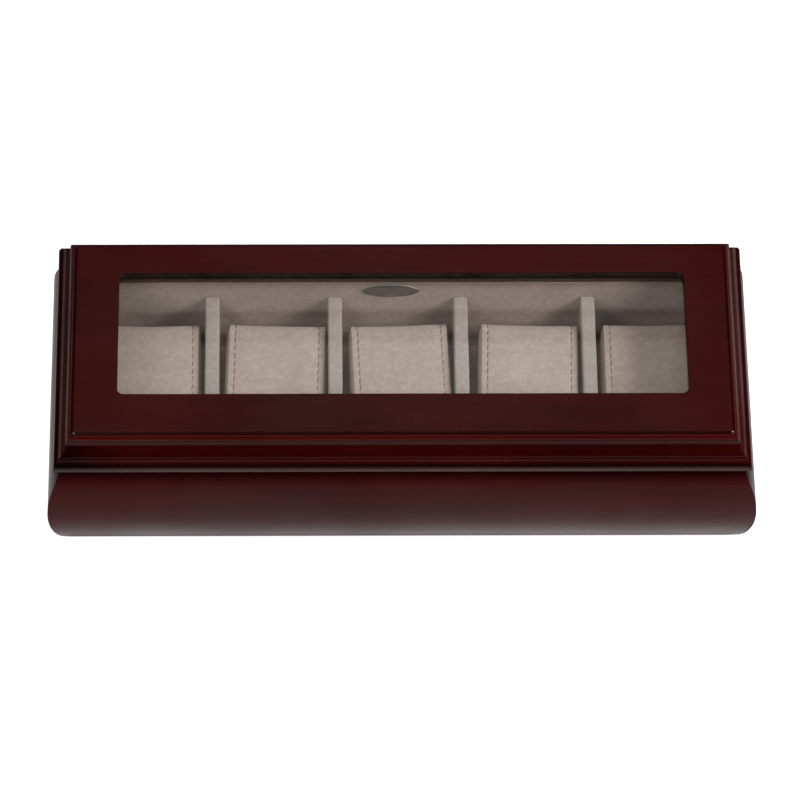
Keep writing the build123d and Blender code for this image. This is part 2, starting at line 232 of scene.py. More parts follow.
        # the lacquer is thinner on the lip at the sides, and a little flatter along the back and the right end
        gloss = s.maths("MULTIPLY", gloss, s.remap(dx, 0.3, 0.8, 1.0, 0.5))
        gloss = s.maths("MULTIPLY", gloss, s.remap(place.outputs["Y"], 20.0, 44.0, 1.0, 0.84))
        gloss = s.maths("MULTIPLY", gloss, s.remap(place.outputs["X"], 132.0, 150.0, 1.0, 0.84))
    if inner is not None:
        dx = s.maths("SUBTRACT", s.maths("ABSOLUTE", place.outputs["X"], 0), 158.0)
        dy = s.maths("SUBTRACT", s.maths("ABSOLUTE", place.outputs["Y"], 0), 56.7)
        bare = s.remap(s.maths("MAXIMUM", dx, dy), inner, inner - 0.3, 0.0, 1.0)
        colour = s.mix(bare, colour, s.ramp(figure, (0.3, (0.128, 0.090, 0.073)), (0.7, (0.160, 0.113, 0.092))))
        gloss = s.maths("MULTIPLY", gloss, s.remap(bare, 0.0, 1.0, 1.0, 0.25))
    sheen = s.noise(s.obj((17, 17, 17), off), 1.0, 2.0, 0.5)
    gloss = s.maths("MULTIPLY", gloss, s.remap(sheen, 0.36, 0.64, 0.80, 1.08))
    s.to("Base Color", colour)
    s.to("Coat Weight", gloss)
    s.to("Roughness", s.remap(figure, 0.3, 0.7, 0.46, 0.56))
    fine = s.noise(s.obj((420, 420, 420), off), 1.0, 2.0, 0.5)
    b = s.bump(pores, 0.05, 0.00006)
    s.to("Normal", b)
    peel = s.bump(fine, 0.035, 0.00008)
    s.to("Coat Normal", peel)
    return s.mat


# height in mm, red of the stain (cut under the lid's lip for painted shade, in hollows for pooled stain and painted
# shade, raised on the panel's ledge for a painted reflection), gloss, rubbed edge and painted highlight and reflection
# lines
# front lid moulding: red cut in the cove and the round for pooled stain and painted shade; pale on the lip and bead for
# painted reflection and highlight, with some rubbing
LID_WEAR = [(62.2, .72, 1, .2), (63.6, .72, 1, .35), (64.5, .48, 1, .82), (65.2, .37, 1, .39), (65.9, .29, 1, .10),
            (66.3, .21, .8, 0), (66.7, .15, .2, 0), (67.3, .17, .05, 0), (68.0, .25, .1, 0), (68.4, .40, .50, 0),
            (68.8, .56, .52, 0), (69.05, .46, .28, 0), (69.4, .66, .45, 0), (70.2, .66, 1, .07), (70.42, .52, .85, .08),
            (70.62, .35, .08, 0), (71.3, .40, .05, 0), (73.2, .51, .03, 0), (75.4, .55, .03, 0), (76.2, .47, .12, 0),
            (76.7, .47, .5, 0), (77.1, .49, 1, 0), (77.6, .49, 1, .22), (78.2, .40, 1, .18), (78.62, .38, .8, .10),
            (78.80, .42, .4, .03), (78.86, .80, .5, 0), (78.95, .92, .5, 0), (80, .92, .5, 0)]
# the base's red falls from about .77 to .22 towards the lid's lip: painted shade under the lip
BASE_WEAR = [(0, .90, 1, 0), (13, .86, 1, 0), (27, .83, 1, 0), (33.7, .75, 1, 0), (36, .72, 1, 0), (40, .77, 1, 0),
             (43, .76, 1, 0), (46.2, .65, 1, 0), (47.5, .61, .95, 0), (50, .67, .80, 0), (51.1, .65, .65, 0),
             (52.1, .62, .52, 0), (53.2, .55, .38, 0), (54.2, .49, .26, 0), (55.4, .42, .17, 0), (57.0, .30, .09, 0),
             (58.0, .25, .06, 0), (62, .22, .03, 0)]
# panel: red raised on the ledge and lower roundover for a painted reflection and painted light in the lip's shadow, cut
# on the upper roundover for painted shade
PANEL_WEAR = [(78.9, 1.5, .5, 0), (79.2, 2.0, .9, 0), (80.2, 1.9, 1, 0), (80.5, .45, 1, 0), (81.15, .40, .9, 0),
              (81.24, .45, .15, 0), (81.46, .75, .10, 0), (81.488, 1, 1, 0), (81.6, 1, 1, 0)]
# the side mouldings: warmer, painted highlight lines with some rubbing on the bead and on the fillet's edge, a browner
# cove, and painted shade on the dark round below; their red is out of 2. The right one is the lit copy of the left,
# paler: painted light
LEFT_WEAR = [(62.2, .50, 1, .15), (63.6, .60, 1, .30), (64.5, .60, 1, .50), (65.2, .50, .9, .35), (65.9, .40, .8, .25),
             (66.3, .30, .5, .15), (66.7, .12, .1, 0), (67.3, .10, .03, 0), (68.4, .10, .03, 0), (69.10, .14, .05, 0),
             (69.16, .40, .6, .70), (70.1, .42, .7, .75), (70.35, .46, .9, .85), (70.66, .46, .9, .85), (70.9, .22, .2, .30),
             (71.3, .20, .1, .20), (73.2, .21, .1, .18), (75.4, .22, .1, .20), (75.9, .22, .15, .10), (76.7, .26, .4, .12),
             (77.3, .50, .7, .15), (78.0, .60, .7, .20), (78.6, .58, .7, .60), (78.82, .52, .5, .50), (78.88, .18, .1, .06),
             (80, .16, .05, .06)]
RIGHT_WEAR = [(62.2, .60, 1, .15), (63.6, .75, 1, .30), (64.5, .80, 1, .45), (65.2, .70, .9, .35), (65.9, .60, .8, .25),
              (66.3, .45, .5, .15), (66.7, .22, .1, .03), (67.3, .17, .03, .04), (68.4, .16, .03, .04), (69.10, .17, .05, .03),
              (69.16, .42, .6, .90), (70.1, .45, .7, .85), (70.35, .50, .9, 1), (70.66, .50, .9, 1), (70.9, .22, .2, .40),
              (71.3, .20, .1, .26), (73.2, .20, .1, .24), (75.4, .22, .1, .28), (75.9, .22, .15, .20), (76.7, .30, .3, .15),
              (77.3, .50, .5, .20), (78.0, .55, .6, .35), (78.6, .55, .9, 1.0), (78.82, .50, .7, .90), (78.88, .26, .1, .05),
              (80, .22, .05, .05)]


def suede(name, pale, dim, seed, nap=1.0):
    """Short-napped suede cloth: brushed patches, a fine speckle and a soft sheen."""
    s = Shader(name, Roughness=0.95, Sheen_Weight=0.22, Sheen_Roughness=0.45)
    s.bsdf.inputs["Specular IOR Level"].default_value = 0.12
    s.bsdf.inputs["Sheen Tint"].default_value = (1.0, 0.95, 0.9, 1)
    off = (seed, seed * 0.37, seed * 1.9)
    patches = s.noise(s.obj((46, 46, 46), off), 1.0, 3.0, 0.55, 0.5)
    strokes = s.noise(s.obj((60, 260, 160), off), 1.0, 3.0, 0.6, 0.6)
    mottle = s.noise(s.obj((380, 380, 380), off), 1.0, 3.0, 0.62, 0.4)
    speckle = s.noise(s.obj((1100, 1100, 1100), off), 1.0, 3.0, 0.7)
    base = s.ramp(patches, (0.33, dim), (0.68, pale))
    worked = s.mix(s.remap(strokes, 0.35, 0.7, 0.0, 0.30 * nap), base, tuple(c * 1.10 for c in pale))
    clouded = s.mix(s.remap(mottle, 0.40, 0.66, 0.0, 0.42), worked, tuple(c * 0.83 for c in dim))
    raised = s.mix(s.remap(mottle, 0.48, 0.26, 0.0, 0.40), clouded, tuple(c * 1.18 for c in pale))
    flecked = s.mix(s.remap(speckle, 0.42, 0.75, 0.0, 0.42), raised, tuple(c * 0.66 for c in dim))
    s.to("Base Color", flecked)
    s.to("Roughness", s.remap(patches, 0.3, 0.7, 0.90, 1.0))
    rough = s.bump(speckle, 0.35, 0.00022)
    s.to("Normal", s.bump(strokes, 0.18, 0.00045, rough))
    return s.mat


def felt_cloth():
    s = Shader("felt_dark", Roughness=1.0, Sheen_Weight=0.3, Sheen_Roughness=0.6)
    s.bsdf.inputs["Specular IOR Level"].default_value = 0.1
    a = s.noise(s.obj((900, 900, 900)), 1.0, 4.0, 0.7, 0.8)
    b = s.noise(s.obj((70, 70, 70)), 1.0, 2.0)
    c = s.ramp(a, (0.3, (0.012, 0.010, 0.010)), (0.72, (0.045, 0.038, 0.036)))
    s.to("Base Color", s.mix(s.remap(b, 0.35, 0.65, 0.0, 0.35), c, (0.020, 0.017, 0.017)))
    s.to("Normal", s.bump(a, 0.6, 0.0004))
    return s.mat


def raw_board(name, light, dark, along):
    s = Shader(name, Roughness=0.85)
    s.bsdf.inputs["Specular IOR Level"].default_value = 0.3
    sc = tuple(9 if i == along else 240 for i in range(3))
    grain = s.noise(s.obj(sc), 1.0, 5.0, 0.6, 0.4)
    chips = s.noise(s.obj((620, 620, 620)), 1.0, 3.0, 0.7)
    c = s.ramp(grain, (0.3, dark), (0.7, light))
    s.to("Base Color", s.mix(s.remap(chips, 0.5, 0.75, 0.0, 0.35), c, tuple(x * 0.6 for x in dark)))
    s.to("Roughness", s.remap(chips, 0.3, 0.7, 0.78, 0.95))
    s.to("Normal", s.bump(chips, 0.3, 0.0002))
    return s.mat


def foam_block():
    s = Shader("foam_cream", Roughness=1.0)
    s.bsdf.inputs["Specular IOR Level"].default_value = 0.1
    v = s.node("ShaderNodeTexVoronoi")
    v.inputs["Scale"].default_value = 1400
    s.link(s.obj(), v.inputs["Vector"])
    cells = v.outputs["Distance"]
    c = s.ramp(cells, (0.15, (0.42, 0.39, 0.30)), (0.6, (0.74, 0.70, 0.60)))
    s.to("Base Color", c)
    s.to("Normal", s.bump(cells, 0.5, 0.0003))
    return s.mat


def brass(name, tone, seed):
    s = Shader(name, Metallic=1.0, Roughness=0.3)
    t = s.noise(s.obj((160, 160, 160), (seed, 0, seed)), 1.0, 4.0, 0.6, 0.5)
    lines = s.noise(s.obj((60, 3200, 3200)), 1.0, 2.0, 0.5)
    c = s.ramp(t, (0.3, tuple(x * 0.45 for x in tone)), (0.55, tone), (0.8, tuple(min(1, x * 1.25) for x in tone)))
    s.to("Base Color", c)
    s.to("Roughness", s.remap(t, 0.3, 0.75, 0.42, 0.24))
    s.to("Normal", s.bump(lines, 0.12, 0.00003))
    return s.mat


def plate_finish():
    """Antiqued metal, dark and matt in the field. The lower rim is darkened, painted shade; the upper rim is brighter,
    a painted highlight with some rubbing at its edge.
    """
    s = Shader("plate_antique", Metallic=0.85, Roughness=0.45)
    t = s.noise(s.obj((700, 700, 700)), 1.0, 4.0, 0.65, 0.4)
    b = s.noise(s.obj((300, 9000, 5200)), 1.0, 2.0, 0.5)
    g = s.node("ShaderNodeNewGeometry")
    place = s.node("ShaderNodeSeparateXYZ")
    s.link(s.obj((1000, 1000, 1000)), place.inputs[0])
    # the upper rim's edge is brightened: painted highlight, with some rubbing
    rub_and_highlight = s.maths("MULTIPLY", s.remap(g.outputs["Pointiness"], 0.50, 0.56, 0.0, 1.0),
                  s.remap(place.outputs["Z"], 55.6, 57.6, 0.0, 1.0))
    c = s.ramp(t, (0.3, (0.135, 0.130, 0.108)), (0.7, (0.205, 0.196, 0.164)))
    across = s.maths("DIVIDE", s.maths("ADD", place.outputs["X"], 4.75), 14.2)
    up = s.maths("DIVIDE", s.maths("SUBTRACT", place.outputs["Z"], 56.1), 4.9)
    reach = s.maths("ADD", s.maths("MULTIPLY", across, across), s.maths("MULTIPLY", up, up))
    # the lower rim is darkened: painted shade
    under = s.maths("MULTIPLY", s.remap(reach, 0.60, 0.72, 0.0, 0.62), s.remap(place.outputs["Z"], 56.2, 54.6, 0.0, 1.0))
    s.to("Base Color", s.mix(under, s.mix(rub_and_highlight, c, (0.45, 0.43, 0.38)), (0.045, 0.041, 0.035)))
    s.to("Roughness", s.remap(t, 0.3, 0.7, 0.5, 0.36))
    s.to("Normal", s.bump(b, 0.2, 0.00004))
    return s.mat


def thread():
    s = Shader("thread_brown", Roughness=0.7, Sheen_Weight=0.2)
    t = s.noise(s.obj((2600, 2600, 2600)), 1.0, 2.0, 0.6)
    s.to("Base Color", s.ramp(t, (0.3, (0.080, 0.048, 0.034)), (0.7, (0.140, 0.089, 0.065))))
    s.to("Normal", s.bump(t, 0.4, 0.0001))
    return s.mat


def clear_glass():
    """Float glass with a faint green body, that lets the lamps light what is under it."""
    s = Shader("float_glass", Roughness=0.0, IOR=1.5, Transmission_Weight=1.0)
    s.bsdf.inputs["Base Color"].default_value = (0.985, 0.992, 0.988, 1)
    clear = s.node("ShaderNodeBsdfTransparent")
    clear.inputs["Color"].default_value = (0.915, 0.92, 0.917, 1)
    path = s.node("ShaderNodeLightPath")
    mix = s.node("ShaderNodeMixShader")
    either = s.maths("MAXIMUM", path.outputs["Is Shadow Ray"], path.outputs["Is Diffuse Ray"])
    s.link(either, mix.inputs[0])
    s.link(s.bsdf.outputs[0], mix.inputs[1])
    s.link(clear.outputs[0], mix.inputs[2])
    s.link(mix.outputs[0], s.out.inputs["Surface"])
    return s.mat


LID_X = lacquer("lacquer_lid_long", 0, 0.0, 1.0, (62, 80), LID_WEAR, INNER + 0.5, dimmed_at="left")
# the left and right lid mouldings are a shaded and a lit copy of one lacquer: painted light
LID_L = lacquer("lacquer_lid_left", 1, 3.1, 2.0, (62, 80), LEFT_WEAR, INNER + 0.5)
LID_R = lacquer("lacquer_lid_right", 1, 4.4, 2.0, (62, 80), RIGHT_WEAR, INNER + 0.5, dimmed_at="front")
WOOD_X = lacquer("lacquer_long", 0, 0.0, 1.0, (0, 62), BASE_WEAR)
WOOD_Y = lacquer("lacquer_short", 1, 3.1, 1.0, (0, 62), BASE_WEAR)
PANEL = lacquer("lacquer_panel", 0, 7.3, 0.57, (78.9, 81.6), PANEL_WEAR, None, 81.3)
LINING = suede("suede_lining", (0.450, 0.352, 0.306), (0.382, 0.296, 0.256), 1.3)
UNDER = suede("suede_floor", (0.370, 0.280, 0.235), (0.315, 0.235, 0.195), 2.6)
COVER = suede("suede_divider", (0.462, 0.392, 0.350), (0.398, 0.336, 0.298), 5.1)
SLEEVE = suede("suede_pillow", (0.520, 0.418, 0.364), (0.450, 0.358, 0.308), 9.7, 1.4)
ENDS = suede("suede_pillow_ends", (0.525, 0.406, 0.318), (0.442, 0.336, 0.258), 12.2)
THREAD = thread()
FELT = felt_cloth()
GLASS = clear_glass()
BRASS = brass("brass_hinge", (0.60, 0.42, 0.18), 0.0)
SCREW = brass("brass_screw", (0.66, 0.48, 0.22), 4.0)
PLY = raw_board("ply_board", (0.46, 0.30, 0.17), (0.30, 0.18, 0.09), 0)
CORE = raw_board("fibre_board", (0.48, 0.36, 0.25), (0.34, 0.24, 0.15), 1)
FOAM = foam_block()
PLATE = plate_finish()


def coat(material, *names):
    for n in names:
        o = NODES[n]
        if not o.material_slots:
            o.data.materials.append(material)
        for sl in o.material_slots:
            sl.material = material


coat(PANEL, "lid_panel")
coat(LID_X, "lid_moulding_front", "lid_moulding_back")
coat(LID_L, "lid_moulding_left")
coat(LID_R, "lid_moulding_right")
coat(WOOD_X, "base_wall_front", "base_wall_back", "glazing_bead_front", "glazing_bead_back")
coat(WOOD_Y, "base_wall_left", "base_wall_right", "glazing_bead_left", "glazing_bead_right")
coat(GLASS, "glass_pane")
coat(PLY, "bottom_board")
coat(CORE, *["divider_%d_board" % i for i in range(1, 5)])
coat(FOAM, *["pillow_%d_foam" % i for i in range(1, 6)])
for side in ("left", "right"):
    coat(BRASS, *["%s_hinge_%s" % (side, k) for k in ("base_leaf", "lid_leaf", "pin")])
    coat(SCREW, *["%s_hinge_%s" % (side, k) for k in ("base_screws", "lid_screws")])


# ------------------------------------------------------------------ mesh helpers
def make(name, points, faces, material, body, replaces=(), parent=None, smooth=True):
    """A mesh object from millimetre points, riding on a CAD body."""
    me = bpy.data.meshes.new(name)
    me.from_pydata([tuple(p) for p in np.asarray(points, float) * MM], [], faces)
    me.validate()
    if smooth:
        me.polygons.foreach_set("use_smooth", [True] * len(me.polygons))
    me.update()
    o = bpy.data.objects.new(name, me)
    bpy.context.scene.collection.objects.link(o)
    o.data.materials.append(material)
    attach(o, body)
    if replaces:
        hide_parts(*replaces)
    return o


def stations(half, r, step, seg=4):
    """Grid lines along one axis of a rounded box: even in the flat, and at even angles round its edges."""
    flat = max(half - r, 0.0)
    n = max(1, int(round(2 * flat / step)))
    inner = list(np.linspace(-flat, flat, n + 1))
    if r <= 0:
        return inner
    rim = [flat + r * math.tan(math.radians(45.0 * k / seg)) for k in range(1, seg + 1)]
    return [-v for v in reversed(rim)] + inner + rim


def rounded_box(lo, hi, r, step, seg=4):
    """Points, quads and outward normals of a box with round edges, on a fine grid, in mm."""
    lo, hi = np.array(lo, float), np.array(hi, float)
    half, mid = (hi - lo) / 2, (hi + lo) / 2
    ax = [stations(half[i], r, step[i], seg) for i in range(3)]
    n = [len(a) for a in ax]
    index, pts = {}, []

    def vid(i, j, k):
        key = (i, j, k)
        if key not in index:
            index[key] = len(pts)
            pts.append((ax[0][i], ax[1][j], ax[2][k]))
        return index[key]

    faces = []
    for axis in range(3):
        u, v = (axis + 1) % 3, (axis + 2) % 3
        for end in (0, n[axis] - 1):
            for a in range(n[u] - 1):
                for b in range(n[v] - 1):
                    quad = []
                    for da, db in ((0, 0), (1, 0), (1, 1), (0, 1)):
                        ijk = [0, 0, 0]
                        ijk[axis], ijk[u], ijk[v] = end, a + da, b + db
                        quad.append(vid(*ijk))
                    faces.append(quad if end else quad[::-1])
    p = np.array(pts)
    core = np.clip(p, -(half - r), half - r)
    d = p - core
    length = np.linalg.norm(d, axis=1, keepdims=True)
    nrm = d / np.maximum(length, 1e-9)
    return core + nrm * r + mid, faces, nrm


def ripple(p, size, seed, octaves=3):
    """Smooth noise of about -1..1 at each point, with features of that size in mm."""
    out = np.empty(len(p))
    for i, q in enumerate(p):
        out[i] = noise.fractal(Vector((q[0] / size + seed, q[1] / size - seed * 0.7, q[2] / size + seed * 1.3)), 0.9, 2.0, octaves)
    return out


def with_cavity(points, faces, lo, hi):
    """Adds a box-shaped hollow, facing inward, so that the piece wraps what is inside it."""
    p2, f2, _ = rounded_box(lo, hi, 0.3, (400, 400, 400), 1)
    k = len(points)
    return np.vstack([points, p2]), list(faces) + [[k + i for i in reversed(f)] for f in f2]


# ------------------------------------------------------------------ suede lining
IX, IY = 149.2, 47.9          # inner faces of the lining
LX, LY = 151.2, 49.9
FLOOR = 9.5
RIM = 61.65


def lining(name, lo, hi, toward, seed, step, cloth=None):
    """One card covered in suede. Its seen face is very slightly uneven, and its top edge is a soft roll."""
    p, f, n = rounded_box(lo, hi, 0.8, step, 4)
    lo_, hi_ = np.array(lo, float), np.array(hi, float)
    away = np.minimum(np.clip((p - lo_) / 6.0, 0, 1), np.clip((hi_ - p) / 6.0, 0, 1))
    flat = [i for i in range(3) if abs(toward[i]) < 0.5]
    hold = np.minimum(away[:, flat[0]], away[:, flat[1]])
    face = np.clip(n @ np.array(toward, float), 0, 1)
    p = p + np.outer(face * hold * 0.16 * (ripple(p, 34.0, seed) + 0.55 * ripple(p, 9.0, seed + 5)), toward)
    return make(name + "_suede", p, f, cloth or LINING, "base", (name,))


lining("lining_back", (-LX, IY, FLOOR), (LX, LY, RIM), (0, -1, 0), 1.0, (2.6, 1, 2.2))
lining("lining_front", (-LX, -LY, FLOOR), (LX, -IY, RIM), (0, 1, 0), 2.0, (2.6, 1, 2.2))
lining("lining_left", (-LX, -IY, FLOOR), (-IX, IY, RIM), (1, 0, 0), 3.0, (1, 2.6, 2.2))
lining("lining_right", (IX, -IY, FLOOR), (LX, IY, RIM), (-1, 0, 0), 4.0, (1, 2.6, 2.2))
lining("lining_floor", (-LX, -LY, 6.5), (LX, LY, FLOOR), (0, 0, 1), 5.0, (3.0, 3.0, 1), UNDER)

# ------------------------------------------------------------------ felt
p, f, n = rounded_box((-158.8, -57.5, 0.0), (158.8, 57.5, 1.5), 0.55, (2.2, 2.2, 1), 3)
down = np.clip(-n[:, 2], 0, 1)
p[:, 2] += down * (0.07 + 0.07 * ripple(p, 3.2, 8.0))
lift = p[:, 2].min()
p[:, 2] -= np.where(down > 0.5, lift, 0)
make("base_felt_sheet", p, f, FELT, "base", ("base_felt",))

# ------------------------------------------------------------------ dividers
DIV_X = (-92.2, -32.0, 29.8, 92.4)
for i, x in enumerate(DIV_X, 1):
    lo, hi = (x - 3.5, -IY, FLOOR), (x + 3.5, IY, 50.9)
    p, f, n = rounded_box(lo, hi, 1.15, (0.9, 1.7, 1.8), 4)
    hold = np.clip((p[:, 2] - FLOOR) / 4, 0, 1) * np.clip((IY - np.abs(p[:, 1])) / 3, 0, 1)
    soft = 0.09 * ripple(p, 15.0, 20.0 + i) + 0.05 * ripple(p, 4.5, 30.0 + i)
    p = p + n * (hold * np.clip(soft, -0.14, 0.10))[:, None]
    p, f = with_cavity(p, f, (x - 2.72, -IY + 0.78, FLOOR + 0.02), (x + 2.72, IY - 0.78, 50.9 - 0.78))
    make("divider_%d_suede" % i, p, f, COVER, "base", ("divider_%d_cover" % i,))

# ------------------------------------------------------------------ blank oval plate
PX, PZ, PA, PB, PT = -4.75, 56.1, 14.2, 4.9, 0.8
rings = []                    # (inset from the edge, height off the lining)
for inset, h in ((0.0, 0.0), (0.0, 0.42), (0.07, 0.60), (0.22, 0.74), (0.42, 0.80), (0.62, 0.77),
                 (0.78, 0.64), (0.90, 0.50), (1.15, 0.46), (2.0, 0.46), (3.2, 0.47), (4.2, 0.48)):
    rings.append([(PX + (PA - inset) * math.cos(t), IY - h, PZ + (PB - inset) * math.sin(t))
                  for t in np.linspace(0, 2 * math.pi, 120, endpoint=False)])
pts = [q for ring in rings for q in ring]
m = 120
quads = []
for a in range(len(rings) - 1):
    for b in range(m):
        c = (b + 1) % m
        quads.append([a * m + b, a * m + c, (a + 1) * m + c, (a + 1) * m + b])
last = (len(rings) - 1) * m
mid_front, mid_back = len(pts), len(pts) + 1
pts += [(PX, IY - 0.48, PZ), (PX, IY, PZ)]
for b in range(m):
    c = (b + 1) % m
    quads.append([last + b, last + c, mid_front])
    quads.append([c, b, mid_back])
make("oval_plate_blank", pts, quads, PLATE, "base", ("oval_plate",))

# ------------------------------------------------------------------ watch pillows
PILLOW_X = (-122.3, -61.1, 0.5, 62.9, 123.6)
PILLOW_YAW = (0.0, -1.6, 2.0, -1.4, 0.0)
HALF_W, HALF_Y, P_LO, P_HI, P_R = 23.1, 37.2, 9.8, 47.0, 8.0
P_MID, HALF_Z = (P_LO + P_HI) / 2, (P_HI - P_LO) / 2
SKIN = 1.2
STITCH_X = 20.5
NY, NZ = 46, 26
LOOP = 2 * (NY + NZ)
X_LINES = [0, 2.6, 5.2, 7.8, 10.4, 13.0, 15.2, 17.2, 18.7, 19.6, 20.1, 20.5, 20.9, 21.5, 22.3, 23.1]
X_LINES = [-v for v in reversed(X_LINES[1:])] + X_LINES
NX = len(X_LINES)


def loop_points(hy, hz, r):
    """A rounded rectangle in Y-Z as LOOP points: its top from front to back, its back, its bottom and its front."""
    def side(a, b, corner_a, corner_b, n):
        # half an arc round corner_a, a straight run, and half an arc round corner_b
        fine = []
        (ca, a0, a1), (cb, b0, b1) = corner_a, corner_b
        for t in np.linspace(a0, a1, 24):
            fine.append((ca[0] + r * math.cos(t), ca[1] + r * math.sin(t)))
        for t in np.linspace(b0, b1, 24):
            fine.append((cb[0] + r * math.cos(t), cb[1] + r * math.sin(t)))
        fine = np.array(fine)
        seg = np.r_[0, np.cumsum(np.linalg.norm(np.diff(fine, axis=0), axis=1))]
        at = np.linspace(0, seg[-1], n + 1)[:-1]
        return np.c_[np.interp(at, seg, fine[:, 0]), np.interp(at, seg, fine[:, 1])]

    q = math.pi / 4
    tf, tb = (-(hy - r), hz - r), (hy - r, hz - r)
    bb, bf = (hy - r, -(hz - r)), (-(hy - r), -(hz - r))
    top = side(None, None, (tf, 3 * q, 2 * q), (tb, 2 * q, q), NY)
    back = side(None, None, (tb, q, 0), (bb, 0, -q), NZ)
    bottom = side(None, None, (bb, -q, -2 * q), (bf, -2 * q, -3 * q), NY)
    front = side(None, None, (bf, -3 * q, -4 * q), (tf, 4 * q, 3 * q), NZ)
    return np.vstack([top, back, bottom, front])


def fill_end(ring):
    """Inner points of an end panel, blended between the four sides of its ring: (NY+1) x (NZ+1) x 3."""
    g = np.zeros((NY + 1, NZ + 1, 3))
    top = ring[[k for k in range(0, NY + 1)]]
    back = ring[[NY + k for k in range(0, NZ + 1)]]
    bottom = ring[[NY + NZ + k for k in range(0, NY + 1)]]
    front = ring[[(2 * NY + NZ + k) % LOOP for k in range(0, NZ + 1)]]
    bottom, front = bottom[::-1], front
    # u along Y from front to back, v down from the top
    left = front[::-1]        # from the top corner down
    for i in range(NY + 1):
        u = i / NY
        for j in range(NZ + 1):
            v = j / NZ
            g[i, j] = ((1 - v) * top[i] + v * bottom[i] + (1 - u) * left[j] + u * back[j]
                       - ((1 - u) * (1 - v) * top[0] + u * (1 - v) * top[NY]
                          + (1 - u) * v * bottom[0] + u * v * bottom[NY]))
    return g


def ring_index(i, j):
    """Where a border point of an end grid lies on its ring, or None."""
    if j == 0:
        return i
    if i == NY:
        return NY + j
    if j == NZ:
        return NY + NZ + (NY - i)
    if i == 0:
        return (2 * NY + NZ + (NZ - j)) % LOOP
    return None


def sim_mesh(seed):
    """The closed starting form of a pillow, a little slack, with its seam rings."""
    yz = loop_points(HALF_Y - 0.35, HALF_Z - 0.35, P_R - 0.3)
    pts = []
    for x in X_LINES:
        for y, z in yz:
            pts.append((x, y, z))
    faces = []
    for i in range(NX - 1):
        for j in range(LOOP):
            k = (j + 1) % LOOP
            faces.append([i * LOOP + j, (i + 1) * LOOP + j, (i + 1) * LOOP + k, i * LOOP + k])
    ends = []
    for side, row in ((-1, 0), (1, NX - 1)):
        ring = np.array(pts[row * LOOP:(row + 1) * LOOP])
        g = fill_end(ring)
        ids = np.zeros((NY + 1, NZ + 1), int)
        for i in range(NY + 1):
            for j in range(NZ + 1):
                r = ring_index(i, j)
                if r is not None:
                    ids[i, j] = row * LOOP + r
                else:
                    a, b = math.sin(math.pi * i / NY), math.sin(math.pi * j / NZ)
                    q = g[i, j].copy()
                    q[0] += side * 0.7 * (a * b) ** 0.6
                    ids[i, j] = len(pts)
                    pts.append(tuple(q))
        for i in range(NY):
            for j in range(NZ):
                quad = [ids[i, j], ids[i + 1, j], ids[i + 1, j + 1], ids[i, j + 1]]
                faces.append([int(v) for v in (quad if side < 0 else quad[::-1])])
        ends.append(ids)
    p = np.array(pts)
    wob = np.array([noise.noise(Vector((q[0] / 14 + seed, q[1] / 14, q[2] / 14 - seed))) for q in p])
    return p, faces, ends, wob


def normals_of(p, faces):
    n = np.zeros_like(p)
    for size in (3, 4):
        fs = np.array([f for f in faces if len(f) == size])
        if len(fs):
            a = np.cross(p[fs[:, 2]] - p[fs[:, 0]], p[fs[:, -1]] - p[fs[:, 1]])
            for c in range(size):
                np.add.at(n, fs[:, c], a)
    return n / np.maximum(np.linalg.norm(n, axis=1, keepdims=True), 1e-12)


def swell(p, faces, wob, seed):
    """Cloth simulation of the sewn cover under light pressure: seams held, faces free. Worked at ten times life size."""
    n = normals_of(p, faces)
    if (n * (p - p.mean(0))).sum() < 0:
        raise RuntimeError("pillow mesh is inside out")
    start = p + n * (0.12 * wob)[:, None]
    me = bpy.data.meshes.new("swell")
    me.from_pydata([tuple(q) for q in start * 0.01], [], faces)
    me.update()
    o = bpy.data.objects.new("swell", me)
    bpy.context.scene.collection.objects.link(o)
    seam = o.vertex_groups.new(name="seam")
    for row in (0, NX - 1):
        seam.add(list(range(row * LOOP, (row + 1) * LOOP)), 1.0, "REPLACE")
    c = o.modifiers.new("Cloth", "CLOTH")
    st = c.settings
    st.quality = 5
    st.mass = 0.3
    st.tension_stiffness = 25
    st.compression_stiffness = 25
    st.shear_stiffness = 12
    st.bending_stiffness = 4.0
    st.use_pressure = True
    st.uniform_pressure_force = 4.0
    st.vertex_group_mass = "seam"
    st.effector_weights.gravity = 0
    c.collision_settings.use_collision = False
    c.collision_settings.use_self_collision = False
    c.point_cache.frame_start = 1
    c.point_cache.frame_end = 20
    scene = bpy.context.scene
    for frame_no in range(1, 21):
        scene.frame_set(frame_no)
    done = o.evaluated_get(bpy.context.evaluated_depsgraph_get()).to_mesh()
    co = np.empty(len(p) * 3, np.float32)
    done.vertices.foreach_get("co", co)
    o.to_mesh_clear()
    bpy.data.objects.remove(o)
    bpy.data.meshes.remove(me)
    scene.frame_set(1)
    return co.reshape(-1, 3).astype(float) * 100


def smooth_grid(a, times):
    for _ in range(times):
        b = a.copy()
        b[1:-1] = (a[:-2] + 2 * a[1:-1] + a[2:]) / 4
        b = (np.roll(b, 1, 1) + 2 * b + np.roll(b, -1, 1)) / 4
        b[0], b[-1] = a[0], a[-1]
        a = b
    return a


